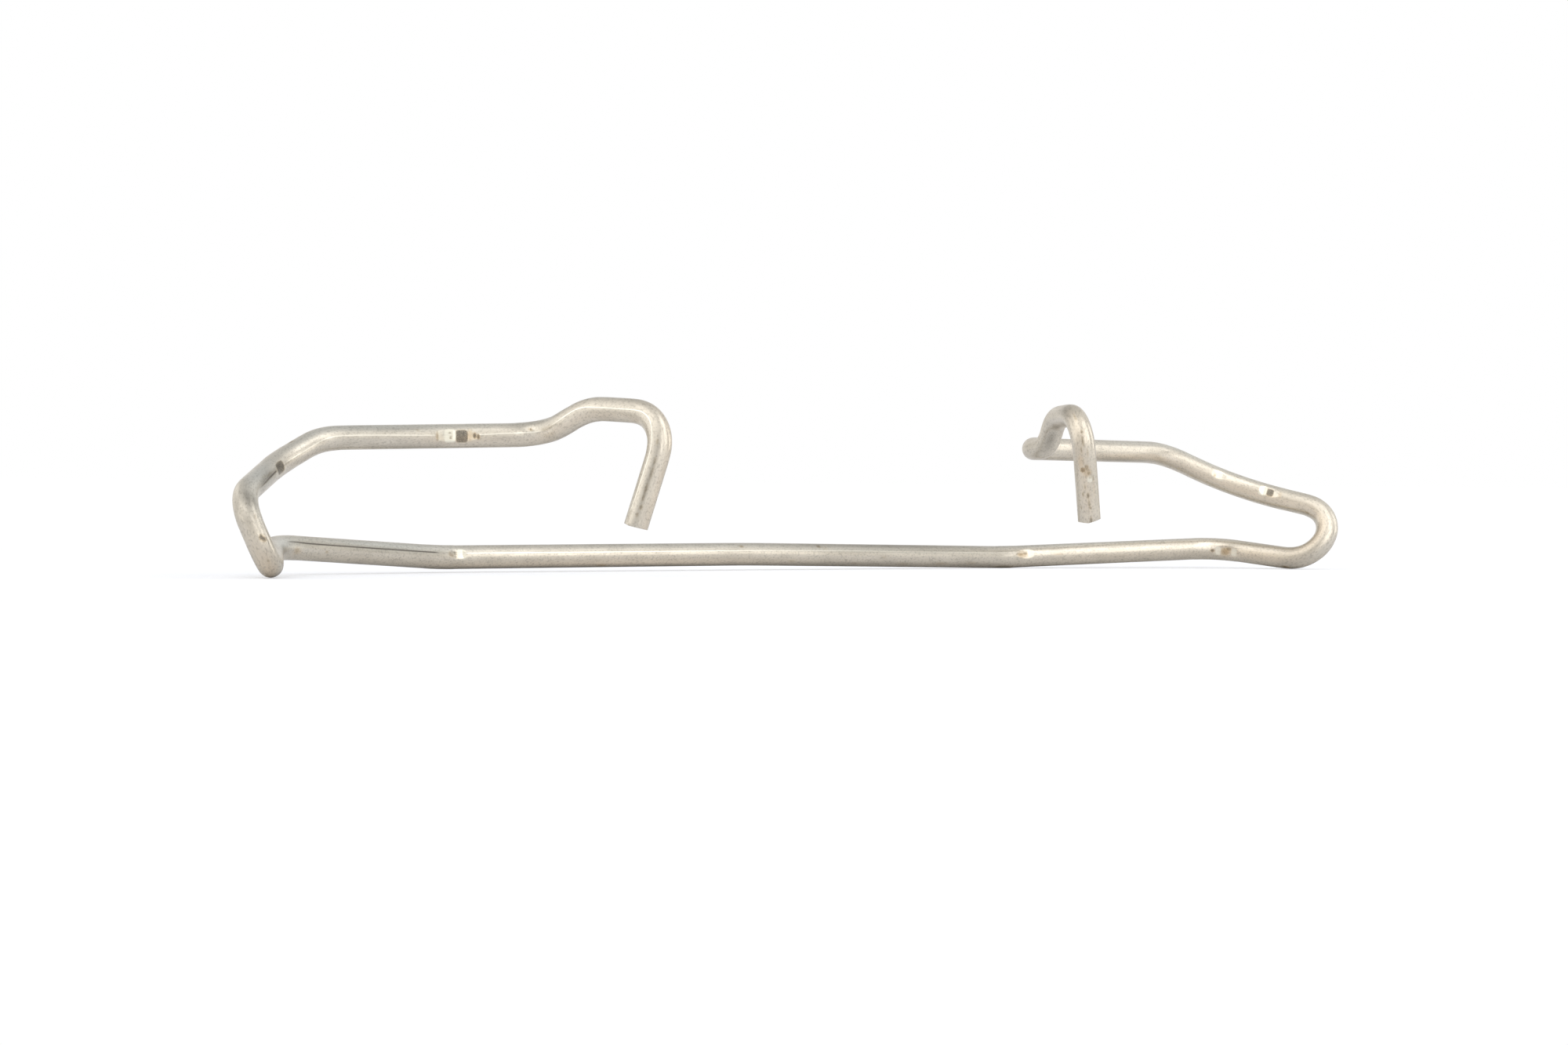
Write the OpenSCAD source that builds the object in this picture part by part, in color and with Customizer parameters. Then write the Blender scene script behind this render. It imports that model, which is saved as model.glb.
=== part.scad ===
// Caliper retaining spring, bent from one length of round wire.
// A long bar runs along the back. At each end an arm splays out to a tight
// loop, which folds the wire up and over itself. The wire then climbs, runs
// back in toward the middle, turns forward and ends in a leg that points down.
// The legs drop into two holes in a caliper, and the loops press on its carrier.
//
// The spring lies as it comes to rest on a flat surface at z = 0. +X runs
// along the bar to the right, +Y away from the legs and +Z up. The origin is
// under the middle of the spring.
//
// The wire is drawn as a bender would set it out: the corner points where its
// straight lines would meet, each with a bend radius on the wire's centre line.
// A spring bent by hand over pins never comes out quite equal on both sides, so
// a size that differs is given as [left, right].

/* [Wire] */
// Diameter of the wire
wire_d = 3; // [2.5:0.1:3.2]
// Number of sides of the round section
section_sides = 48; // [24:8:96]

/* [Bar] */
// Distance of the bar's end corners from the middle [left, right]
bar_out = [46.8, 43.3]; // [38:0.1:50]
// Distance of the bar back from the middle of the spring
bar_back = 14.8; // [12:0.1:18]
// Height of the wire's centre line at the bar's end corners [left, right]
bar_high = [1.9, 1.5]; // [1.3:0.1:3]
// How far the middle of the bar bows up above its ends
bar_bow = 0.4; // [0.1:0.1:2]
// Radius of the bend between the bar and the arm [left, right]
bar_bend = [21, 11.5]; // [8:0.5:24]

/* [Arms] */
// Distance of the arm's end corner from the middle [left, right]
arm_out = [74.3, 75.1]; // [70:0.1:78]
// Distance of the arm's end corner back from the middle of the spring [left, right]
arm_back = [8.8, 7.2]; // [5:0.1:11]
// Height of the arm's end corner [left, right]
arm_high = [3.5, 2.8]; // [2:0.1:5]
// Radius of the bend between the arm and the loop [left, right]
arm_bend = [9, 7.5]; // [5:0.5:10]

/* [Loops] */
// Distance of the loop's foot from the middle [left, right]
foot_out = [82.2, 81.3]; // [80:0.1:84]
// Distance of the loop's foot forward of the middle of the spring [left, right]
foot_fore = [6.9, 6.2]; // [5:0.1:9]
// Height of the loop's foot corner [left, right]
foot_high = [0.8, 1.1]; // [0.5:0.1:2]
// Radius of the bend at the loop's foot [left, right]
foot_bend = [4, 4.5]; // [3:0.1:5]
// Distance of the loop's top from the middle [left, right]
top_out = [85.2, 85.9]; // [83:0.1:88]
// Distance of the loop's top forward of the middle of the spring [left, right]
top_fore = [4.4, 6.1]; // [3:0.1:8]
// Height of the loop's top corner [left, right]
top_high = [9.9, 8]; // [7.5:0.1:11]
// Radius of the bend at the loop's top [left, right]
top_bend = [4.2, 3.6]; // [3:0.1:6]

/* [Upper runs] */
// Distance of the first upper corner from the middle [left, right]
climb_out = [74.4, 76.3]; // [72:0.1:78]
// Distance of the first upper corner back from the middle of the spring [left, right]
climb_back = [6.2, 4.9]; // [3:0.1:8]
// Height of the first upper corner [left, right]
climb_high = [13.5, 11.3]; // [10:0.1:15]
// Radius of the bend at the first upper corner [left, right]
climb_bend = [13, 33]; // [8:0.5:36]
// Distance of the crest from the middle [left, right]
crest_out = [66.8, 67]; // [62:0.1:70]
// Distance of the crest back from the middle of the spring [left, right]
crest_back = [9.4, 9.3]; // [8:0.1:12]
// Height of the crest [left, right]
crest_high = [16.7, 16.1]; // [15:0.1:18]
// Radius of the bend at the crest [left, right]
crest_bend = [7, 9]; // [5:0.5:10]

/* [Hooks] */
// Distance of the hook's root from the middle, where the wire turns forward [left, right]
root_out = [38.3, 38.1]; // [37:0.1:42]
// Distance of the hook's root back from the middle of the spring [left, right]
root_back = [3.7, 3.9]; // [2:0.1:5]
// Height of the hook's root [left, right]
root_high = [17.4, 16.4]; // [15:0.1:18]
// Radius of the bend at the hook's root [left, right]
root_bend = [4.5, 4.2]; // [3.5:0.1:5]
// Distance of the hook's lift from the middle, where the wire turns up [left, right]
lift_out = [38.8, 37.8]; // [36:0.1:40]
// Distance of the hook's lift forward of the middle of the spring [left, right]
lift_fore = [1.7, 1.6]; // [1:0.1:2.5]
// Height of the hook's lift [left, right]
lift_high = [18.7, 16.4]; // [16:0.1:19]
// Radius of the bend at the hook's lift [left, right]
lift_bend = [3.5, 3.5]; // [3:0.1:4]
// Distance of the hook's rise from the middle, where it levels out again [left, right]
rise_out = [36.6, 36.9]; // [35:0.1:39]
// Distance of the hook's rise forward of the middle of the spring [left, right]
rise_fore = [4, 4.1]; // [3.5:0.1:6]
// Height of the hook's rise [left, right]
rise_high = [20.7, 20.5]; // [20:0.1:22]
// Radius of the bend at the hook's rise [left, right]
rise_bend = [5.5, 5]; // [4:0.1:6]
// Distance of the hook's nose from the middle [left, right]
nose_out = [32, 32]; // [29:0.1:34]
// Distance of the hook's nose forward of the middle of the spring [left, right]
nose_fore = [15.6, 15.9]; // [14:0.1:18]
// Height of the hook's nose [left, right]
nose_high = [20.1, 20.9]; // [19:0.1:23]
// Radius of the bend at the hook's nose [left, right]
nose_bend = [4.4, 3.9]; // [3.5:0.1:6]

/* [Legs] */
// Distance of the leg's end from the middle [left, right]
leg_out = [35.4, 35.4]; // [32:0.1:38]
// Distance of the leg's end forward of the middle of the spring [left, right]
leg_fore = [13.5, 13.5]; // [12:0.1:16]
// Height of the leg's end above the surface it lies on [left, right]
leg_high = [6.4, 6.7]; // [4:0.1:9]
// Slant of the sheared end's outer facet, in degrees [left, right]
shear_outer = [1, 14]; // [0:1:16]
// Slant of the sheared end's inner facet, in degrees [left, right]
shear_inner = [11, 9]; // [0:1:16]

/* [Tool marks] */
// Depth of the marks that the bender's jaws press into the straight wire
jaw_depth = 0.17; // [0.05:0.01:0.3]
// Depth of the band that a bending pin presses into the inside of a bend
pin_depth = 0.12; // [0.05:0.01:0.2]

/* [Hidden] */
$fn = section_sides;
r = wire_d / 2;
steel = [0.62, 0.58, 0.5];
// The section swells a hair where the wire is bent, and the straight wire runs
// this far into each bend
swell = 0.02;
lap = 0.25;
// Extra wire at each end, which the shear takes off
spare = 0.5;

// The corners of one side, from the bar to the leg's end. Each is [x, y, z, bend radius].
function corners(k, side) = [
    [side * bar_out[k], bar_back, bar_high[k], bar_bend[k]],
    [side * arm_out[k], arm_back[k], arm_high[k], arm_bend[k]],
    [side * foot_out[k], -foot_fore[k], foot_high[k], foot_bend[k]],
    [side * top_out[k], -top_fore[k], top_high[k], top_bend[k]],
    [side * climb_out[k], climb_back[k], climb_high[k], climb_bend[k]],
    [side * crest_out[k], crest_back[k], crest_high[k], crest_bend[k]],
    [side * root_out[k], root_back[k], root_high[k], root_bend[k]],
    [side * lift_out[k], -lift_fore[k], lift_high[k], lift_bend[k]],
    [side * rise_out[k], -rise_fore[k], rise_high[k], rise_bend[k]],
    [side * nose_out[k], -nose_fore[k], nose_high[k], nose_bend[k]],
    [side * leg_out[k], -leg_fore[k], leg_high[k], 0],
];
left = corners(0, -1);
right = corners(1, 1);
last = len(left) - 1;
middle = [0, bar_back, (bar_high[0] + bar_high[1]) / 2 + bar_bow, 400];
// The whole route, from the left leg's end to the right leg's end
route = concat([for (i = [last:-1:0]) left[i]], [middle], right);

function point(i) = [route[i][0], route[i][1], route[i][2]];
function unit(v) = v / norm(v);
function heading(i) = unit(point(i + 1) - point(i));
function stretch(i) = norm(point(i + 1) - point(i));
function turn(i) = acos(min(1, heading(i - 1) * heading(i)));
// How far from a corner its bend would start. Where two bends would run into each
// other, both shrink by the same share.
function wanted(i) = (i == 0 || i == len(route) - 1) ? 0 : route[i][3] * tan(turn(i) / 2);
function share(i) = min(1, 0.99 * stretch(i) / (wanted(i) + wanted(i + 1)));
function setback(i) = (i == 0 || i == len(route) - 1) ? 0
    : wanted(i) * min(share(i - 1), share(i));
function bend_start(i) = point(i) - setback(i) * heading(i - 1);
function bend_end(i) = point(i) + setback(i) * heading(i);

// Turns +Z to a direction, and moves the origin to a point
module aim(from, direction) {
    flat = norm([direction[0], direction[1]]);
    translate(from)
        rotate([0, atan2(flat, direction[2]), atan2(direction[1], direction[0])])
            children();
}

// One straight stretch, from corner i to the next
module straight(i) {
    before = i == 0 ? spare : lap;
    after = i == len(route) - 2 ? spare : lap;
    start = bend_end(i) - before * heading(i);
    stop = bend_start(i + 1) + after * heading(i);
    aim(start, heading(i))
        cylinder(h = norm(stop - start), r = r);
}

function bend_radius(i) = setback(i) / tan(turn(i) / 2);

// Puts its children at the axis of the bend at corner i, with +Z along the axis
// and +X toward the bend's start
module at_bend(i) {
    along = heading(i - 1);
    inward = unit(heading(i) - (heading(i) * along) * along);
    up = cross(along, inward);
    centre = bend_start(i) + bend_radius(i) * inward;
    multmatrix([
        [-inward[0], along[0], up[0], centre[0]],
        [-inward[1], along[1], up[1], centre[1]],
        [-inward[2], along[2], up[2], centre[2]],
        [0, 0, 0, 1],
    ])
        children();
}

// One bend, at corner i
module bend(i) {
    at_bend(i)
        rotate_extrude(angle = turn(i), $fn = 96)
            translate([bend_radius(i), 0])
                circle(r = r + swell, $fn = section_sides);
}

// The bending pin at corner i, which bites a narrow band into the wire
module pin_mark(i) {
    at_bend(i)
        cylinder(h = wire_d, r = bend_radius(i) - r - swell + pin_depth, center = true, $fn = 96);
}

// A shallow hollow, as long as said, in the +X side of a wire that runs along Y
module hollow(long) {
    dish = (long * long / 4 + jaw_depth * jaw_depth) / (2 * jaw_depth);
    translate([r - jaw_depth + dish, 0, 0])
        cylinder(h = 2 * wire_d, r = dish, center = true, $fn = 360);
}

// A jaw's mark on the straight wire after corner i. It is centred a distance
// along from the corner, and faces round degrees about the wire from its
// underside.
module jaw_mark(i, along, round, long) {
    aim(point(i) + along * heading(i), heading(i))
        rotate([0, 0, round])
            rotate([90, 0, 0])
                hollow(long);
}

// The same mark inside the bend at corner i, a part of the way round it, and
// facing round degrees about the wire from the outside of the bend
module bend_mark(i, part, round, long) {
    at_bend(i)
        rotate([0, 0, part * turn(i)])
            translate([bend_radius(i), 0, 0])
                rotate([0, round, 0])
                    hollow(long);
}

// What the shear takes off a leg's end: two slants that meet in a blunt ridge.
// round turns the ridge about the leg.
module shear(end, direction, round, first, second) {
    aim(end, direction)
        rotate([0, 0, round])
            for (slant = [first, -second])
                rotate([0, slant, 0])
                    translate([-wire_d, -wire_d, 0])
                        cube([2 * wire_d, 2 * wire_d, wire_d]);
}

// The marks, named by the corner that each follows on the way from the left leg
// to the right one
module tool_marks() {
    // the upper left run, and where it leaves the loop
    jaw_mark(4, 11.9, 91, 5.6);
    jaw_mark(6, 3.1, 105, 2.5);
    // the bar's left end
    jaw_mark(10, 1.5, 259, 2.7);
    // the right arm, just past the bar
    jaw_mark(12, 2.5, 258, 2.7);
    // the right arm's end, on the inside of its bend
    pin_mark(13);
    // the upper right run, where it leaves the loop
    bend_mark(16, 0.16, 173, 3.1);
}

module spring_wire() {
    ends = len(route) - 1;
    color(steel)
        difference() {
            union() {
                for (i = [0:ends - 1]) straight(i);
                for (i = [1:ends - 1]) bend(i);
            }
            tool_marks();
            shear(point(0), -heading(0), 18, shear_inner[0], shear_outer[0]);
            shear(point(ends), heading(ends - 1), -110, shear_outer[1], shear_inner[1]);
        }
}

spring_wire();
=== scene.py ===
# %% [markdown]
# # A caliper spring, bent from one length of wire
#
# The object is a spring that holds a brake caliper still. It is one length of round steel wire,
# 3 mm thick and about 37 cm long, bent ten times on each side of a long straight bar. Nothing
# is joined to it, so the whole lesson is about one surface: how to carry a round section along
# a bent path, and how to give it the finish of drawn wire.
#
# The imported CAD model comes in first. It is a fixed frame: every piece made here is placed in
# its coordinates, in metres, and the box round it is kept, to compare with ours at the end.

import bpy
import numpy as np
from mathutils import Matrix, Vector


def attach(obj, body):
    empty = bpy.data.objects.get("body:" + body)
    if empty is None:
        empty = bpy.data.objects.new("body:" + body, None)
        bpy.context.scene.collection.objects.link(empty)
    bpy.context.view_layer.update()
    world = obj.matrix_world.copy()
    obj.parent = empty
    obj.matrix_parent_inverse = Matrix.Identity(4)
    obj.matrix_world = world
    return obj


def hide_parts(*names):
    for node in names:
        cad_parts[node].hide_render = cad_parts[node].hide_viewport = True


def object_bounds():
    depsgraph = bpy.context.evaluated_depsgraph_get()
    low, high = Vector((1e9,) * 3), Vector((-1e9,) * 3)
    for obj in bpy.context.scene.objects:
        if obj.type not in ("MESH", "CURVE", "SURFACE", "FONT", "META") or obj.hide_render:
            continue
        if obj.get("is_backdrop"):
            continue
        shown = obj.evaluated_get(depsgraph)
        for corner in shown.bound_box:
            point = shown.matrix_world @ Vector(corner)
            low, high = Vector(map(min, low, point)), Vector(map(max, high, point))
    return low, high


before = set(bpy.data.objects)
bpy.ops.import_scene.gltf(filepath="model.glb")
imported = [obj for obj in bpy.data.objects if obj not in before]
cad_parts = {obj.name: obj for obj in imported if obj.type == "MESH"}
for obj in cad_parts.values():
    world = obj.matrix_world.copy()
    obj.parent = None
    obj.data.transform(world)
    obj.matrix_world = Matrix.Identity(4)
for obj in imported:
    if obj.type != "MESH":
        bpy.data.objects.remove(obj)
cad_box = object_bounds()
print("CAD box, mm:", [[round(1000 * x, 2) for x in corner] for corner in cad_box])

# %% [markdown]
# ## The camera
#
# The photograph was taken from close to table height, from the left of the spring's front. So
# the bar runs away to the right, and the near loop looks larger than the far one. The place and
# the angles below were fitted to the wire's outline. Three unit vectors say how the camera
# stands: where it looks, which way is right in its picture, and which way is up. They are the
# columns of its matrix, apart from the first, which is turned round because a camera in Blender
# looks along its own -Z.

# %% Place the camera
PHOTO_SIZE = (2000, 1333)  # pixels
FOCAL_PIXELS = 5522
SENSOR = 36  # mm
CAMERA_PLACE = (-0.32370, -0.45640, 0.01320)  # metres
turned, dipped, rolled = np.radians([34.999, 0.690, 0.462])

looks = np.array([np.sin(turned) * np.cos(dipped), np.cos(turned) * np.cos(dipped), -np.sin(dipped)])
level = np.array([np.cos(turned), -np.sin(turned), 0.0])
upright = np.cross(level, looks)
picture_right = level * np.cos(rolled) + upright * np.sin(rolled)
picture_up = upright * np.cos(rolled) - level * np.sin(rolled)

stance = np.eye(4)
stance[:3, 0], stance[:3, 1], stance[:3, 2], stance[:3, 3] = picture_right, picture_up, -looks, CAMERA_PLACE
camera = bpy.data.objects.new("camera", bpy.data.cameras.new("camera"))
camera.data.sensor_width = SENSOR
camera.data.lens = FOCAL_PIXELS / PHOTO_SIZE[0] * SENSOR
camera.data.clip_start, camera.data.clip_end = 0.01, 50
camera.matrix_world = Matrix(stance.tolist())
bpy.context.scene.collection.objects.link(camera)
bpy.context.scene.camera = camera
print(f"lens {camera.data.lens:.1f} mm, {np.linalg.norm(CAMERA_PLACE):.3f} m from the spring's middle")

# %% [markdown]
# ## The route of the wire
#
# A spring maker sets a wire form out as corner points, where its straight stretches would
# meet, and one bend radius for each corner. We could draw a Bezier curve and give it a round
# bevel, but its handles only come near a true arc, and the section could not carry tool marks.
# So the route is worked out here as straight lines and exact arcs, from the CAD model's sizes.
# Five corners of the left side stand up to 0.4 mm from theirs, nearer the photograph's outline.
# Each corner is [out from the middle, back, height, bend radius], in millimetres.

# %% The corners of both sides
MM = 0.001
WIRE_RADIUS = 1.5
LEFT = [
    (46.8, 14.8, 1.9, 21), (73.9, 8.75, 3.5, 8.6), (82.25, -7.0, 0.95, 3.3), (85.15, -4.45, 9.5, 4.3),
    (74.5, 6.25, 13.45, 13.2), (66.8, 9.4, 16.7, 7), (38.3, 3.7, 17.4, 4.5), (38.8, -1.7, 18.7, 3.5),
    (36.6, -4.0, 20.7, 5.5), (32.0, -15.6, 20.1, 4.4), (35.6, -13.35, 6.05, 0),
]
RIGHT = [
    (43.3, 14.8, 1.5, 11.5), (75.1, 7.2, 2.8, 7.5), (81.3, -6.2, 1.1, 4.5), (85.9, -6.1, 8, 3.6),
    (76.3, 4.9, 11.3, 33), (67, 9.3, 16.1, 9), (38.1, 3.9, 16.4, 4.2), (37.8, -1.6, 16.4, 3.5),
    (36.9, -4.1, 20.5, 5.0), (32.0, -15.9, 20.9, 3.9), (35.4, -13.5, 6.7, 0),
]
MIDDLE = (0, 14.8, 2.1, 400)
mirrored = [(-out, back, high, bend) for out, back, high, bend in reversed(LEFT)]
route = np.array(mirrored + [MIDDLE] + RIGHT, float)
corners, wanted_radius = route[:, :3], route[:, 3]
print(len(corners), "corners, from the left leg's end to the right leg's end")

# %% [markdown]
# At a corner that turns through an angle, an arc of radius R starts R x tan(angle / 2) before
# the corner and ends as far after it. Where two bends would run into each other, both shrink
# by the same share, as in the CAD model.

# %% Fit the arcs into the corners
strides = np.diff(corners, axis=0)
stretch = np.linalg.norm(strides, axis=1)
heading = strides / stretch[:, None]
turn = np.zeros(len(corners))
turn[1:-1] = np.arccos((heading[:-1] * heading[1:]).sum(1))
wanted = wanted_radius * np.tan(turn / 2)
room = np.minimum(1, 0.99 * stretch / (wanted[:-1] + wanted[1:]))
setback = wanted.copy()
setback[1:-1] *= np.minimum(room[:-1], room[1:])
bend_radius = np.zeros(len(corners))
bend_radius[1:-1] = setback[1:-1] / np.tan(turn[1:-1] / 2)
straight_length = stretch - setback[:-1] - setback[1:]
bend_length = bend_radius * turn
# Along the wire: where each straight stretch starts, and where each bend starts
straight_start = np.concatenate([[0], np.cumsum(straight_length + bend_length[1:])])[:-1]
bend_start = np.concatenate([[0], straight_start + straight_length])
WIRE_LENGTH = straight_start[-1] + straight_length[-1]
print(f"{WIRE_LENGTH:.1f} mm of wire; tightest bend {bend_radius[1:-1].min():.2f} mm on its centre line")

# %% [markdown]
# ## A frame that rides along the wire
#
# To put a section on the path, each point of the path needs two directions across the wire. If
# they were taken from a fixed "up", they would spin wherever the wire turns over, as it does in
# both end loops. Instead one direction is carried along: it stays as it is on a straight
# stretch, and turns with the wire about the bend's axis in an arc. It never twists about the
# wire, so a scratch that was drawn along the straight wire stays on the same side of it.

# %% Carry the frame along the wire
def turned_about(axis, vector, angles):
    """Rodrigues' rule: the part along the axis stays, and the part across it turns through each
    angle, as cosine times itself plus sine times its cross product with the axis."""
    across = vector - (vector @ axis) * axis
    return ((vector @ axis) * axis + np.outer(np.cos(angles), across)
            + np.outer(np.sin(angles), np.cross(axis, vector)))


def follow_wire(s):
    """The wire's centre, heading and carried direction at each arc length s, in millimetres.
    On a straight: start + s x heading. In a bend: the arm from the bend's centre, turned."""
    place, ahead, side = np.zeros((3, len(s), 3))
    carried = np.cross(heading[0], [0, 1, 0])
    carried /= np.linalg.norm(carried)
    for i in range(len(stretch)):
        begin = corners[i] + setback[i] * heading[i]
        here = s >= straight_start[i] if i else s < np.inf
        place[here] = begin + np.outer(s[here] - straight_start[i], heading[i])
        ahead[here], side[here] = heading[i], carried
        k = i + 1
        if k == len(stretch):
            break
        axis = np.cross(heading[i], heading[k])
        axis /= np.linalg.norm(axis)
        arm = -bend_radius[k] * np.cross(axis, heading[i])
        hub = corners[k] - setback[k] * heading[i] - arm
        here = s > bend_start[k]
        angles = (s[here] - bend_start[k]) / bend_radius[k]
        place[here] = hub + turned_about(axis, arm, angles)
        ahead[here] = turned_about(axis, heading[i], angles)
        side[here] = turned_about(axis, carried, angles)
        carried = turned_about(axis, carried, turn[k:k + 1])[0]
    return place, ahead, side


EASE = 1.3  # mm on each side over which a bend starts and ends


def eased_wire(s):
    """Springy wire does not turn into a bend at once. So each point is the mean of nine along the
    exact route, up to EASE before and after it, and the carried direction is made square to the
    heading again by taking away its part along it."""
    reach = np.minimum(np.minimum(s, WIRE_LENGTH - s).clip(0), EASE)
    samples = [follow_wire(s + share * reach) for share in np.linspace(-1, 1, 9)]
    places, heads, sides = np.mean(samples, axis=0)
    heads /= np.linalg.norm(heads, axis=1)[:, None]
    sides -= (sides * heads).sum(1)[:, None] * heads
    return places, heads, sides / np.linalg.norm(sides, axis=1)[:, None]


test_place = eased_wire(np.linspace(0, WIRE_LENGTH, 2001))[0]
gaps = np.linalg.norm(np.diff(test_place, axis=0), axis=1)
print(f"steps of {gaps.min():.4f} to {gaps.max():.4f} mm, so the path has no jump")

# %% [markdown]
# ## Where the tools bit
#
# The bender's jaws and pins left flats in the wire. On the real spring each is a shallow hollow
# across the wire, with ends that run out to nothing and a floor that is nearly flat. They could
# be cut with a boolean, but a sweep can hold them itself: the section's radius is a function of
# the place along the wire and the angle round it. Each flat has the angle that it faces, and a
# list of [place along the wire, depth]. The kinks in the list are the steps that the tools
# left in a mark's floor, where it turns from dark to bright. The same function takes the one
# long groove, which the wire's end was dragged along.

# %% Depth of the pressed flats
PRESSED_FLATS = {
    "upper left run": (14, [
        (40.75, 0), (41.18, .12), (42.08, .19), (42.28, .21), (43.58, .15), (43.83, .14), (44.18, .19),
        (45.28, .19), (45.98, .12), (46.58, 0),
    ]),
    "left climb": (16, [
        (70.97, 0), (71.27, .13), (72.08, .18), (72.88, .12), (73.58, 0),
    ]),
    "bar's left end": (12, [
        (136.66, 0), (137.26, .06), (137.96, .125), (139.06, .105), (139.56, 0),
    ]),
    "right arm": (13, [
        (227.49, 0), (228.29, .08), (229.09, .16), (229.69, .14), (230.39, 0),
    ]),
    "right arm's end": (35, [
        (258.1, 0), (258.8, .12), (259.6, .18), (260.6, .21), (261.6, .17), (262.2, .11), (262.8, 0),
    ]),
    "right climb": (11, [
        (286.29, 0), (286.99, .1), (287.49, .16), (288.19, .12), (288.79, .16), (289.49, 0),
    ]),
    "right crest": (13, [
        (294.6, 0), (295.2, .08), (295.9, .11), (296.4, .09), (297, 0),
    ]),
    "right leg": (90, [
        (359.39, 0), (359.69, .03), (360.09, .035), (360.49, 0),
    ]),
}
GROOVES = [(1.18, 9.38, 51, 12, .022)]  # [start, end, angle, half width in degrees, depth]


def away_from(angle, centre):
    """Degrees from an angle round the wire to a centre, the short way round."""
    return np.abs((np.degrees(angle) - centre + 180) % 360 - 180)


def band(s, angle, start, end, centre, half_width, fade=1.5):
    """1 along the middle of a band, falling as a cosine to 0 at its two sides, and over `fade`
    millimetres at its two ends."""
    lengthwise = np.clip(np.minimum(s - start, end - s) / fade + 0.5, 0, 1)
    crosswise = np.clip(away_from(angle, centre) / half_width, 0, 1)
    return lengthwise * (0.5 + 0.5 * np.cos(np.pi * crosswise))


def pressed_radius(s, angle):
    """The wire's radius where nothing pressed it, less the depth of any groove. In a flat, no
    further out than a plane across the wire: (radius - depth) / cosine of the angle from the
    way that the flat faces."""
    radius = np.full(np.broadcast(s, angle).shape, WIRE_RADIUS)
    for start, end, centre, half_width, depth in GROOVES:
        radius -= depth * band(s, angle, start, end, centre, half_width)
    for facing, profile in PRESSED_FLATS.values():
        along, depth = np.array(profile).T
        floor = WIRE_RADIUS - np.interp(s, along, depth)
        lean = np.cos(angle - np.radians(facing))
        radius = np.where(lean > 0.3, np.minimum(radius, floor / np.maximum(lean, 0.3)), radius)
    return radius


deepest = max(depth for _, profile in PRESSED_FLATS.values() for _, depth in profile)
print(len(PRESSED_FLATS), "flats, the deepest", deepest, "mm, and", len(GROOVES), "groove")

# %% [markdown]
# ## The die line
#
# Wire is pulled through a die to bring it to size, and a nick in the die draws one fine line
# along its whole length. On this spring it shows as a thin bright thread, whose brightness is a
# painted highlight in the colour over a real ridge, and in two places, where a tool slid over it,
# as a dark scratch. The grid of the surface follows it: its first column of points lies exactly on
# the line, so that a ridge one hundredth of a millimetre high can be real geometry without a finer
# mesh elsewhere. Each entry is [place along, angle in degrees, strength], from 1 for the brightest
# thread to -1 for the darkest scratch.

# %% Where the die line runs
DIE_LINE = np.array([
    (0, 3, 0), (1.78, 5.5, 0), (2.08, 6, .85), (4.88, 10.2, .95), (7.88, 13.2, .9), (10.88, 13.7, .8),
    (11.88, 18, .8), (12.88, 28, .8), (13.88, 35.2, .8), (14.88, 34.2, .8), (15.87, 23.5, 1),
    (16.87, 18.4, .9), (22.86, 19, .85), (23.85, 24.2, .95), (24.85, 29.9, .9), (25.85, 30.3, .9),
    (26.85, 26.6, .8), (27.85, 22.2, .6), (29.85, 17.2, .5), (31.85, 18.2, .6), (33.85, 22.7, .7),
    (35.35, 23.8, .75), (37.85, 21.7, .75), (40.75, 17.8, .7), (40.78, 17.8, 0), (46.38, 18, 0),
    (46.78, 18, .6), (51.85, 21.3, .65), (56.85, 23.8, .65), (59.85, 21.8, .7), (62.88, 16.7, .8),
    (67.92, 15.6, .75), (70.75, 18, .3), (71.07, 18, 0), (74.47, 16.7, 0), (74.67, 16.6, -1),
    (77.99, 12.7, -1), (80.5, 8, -.4), (82.51, 6, 0), (108.62, -5, 0), (109.62, -4, -.6),
    (113.27, 4, -1), (122.16, 5.4, -1), (134.6, 6, -1), (135.1, 6.2, 0), (139.46, 7, 0), (139.49, 7, 1),
    (145.49, 7.5, 1), (150.49, 8, .9), (160.49, 7.9, .8), (170.49, 7.8, .85), (180.49, 7.7, .7),
    (188.49, 6, .5), (200.49, 3.6, .4), (218.49, 4.3, .3), (228.49, 4, .2), (250, 6, .15), (258, 7, 0),
    (325.49, 5, 0), (350.49, -5, 0), (366.39, -10, 0),
])
# Columns near the line: [degrees from it, share of a bright thread, share of a dark scratch]
LINE_COLUMNS = np.array([
    (-6.2, 0, 0), (-3.8, 0, .3), (-2, .5, .9), (0, 1, 1), (2, .5, .9), (3.8, 0, .3), (6.2, 0, 0),
])


def die_angle(s):
    """The die line's angle at each s: straight between the listed points, then smoothed by
    averaging five places half a millimetre apart."""
    offsets = np.linspace(-1, 1, 5)
    angles = [np.interp(s + step, DIE_LINE[:, 0], DIE_LINE[:, 1]) for step in offsets]
    return np.radians(np.mean(angles, axis=0))


print(f"the line wanders from {DIE_LINE[:, 1].min()} to {DIE_LINE[:, 1].max()} degrees round the wire")
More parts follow.
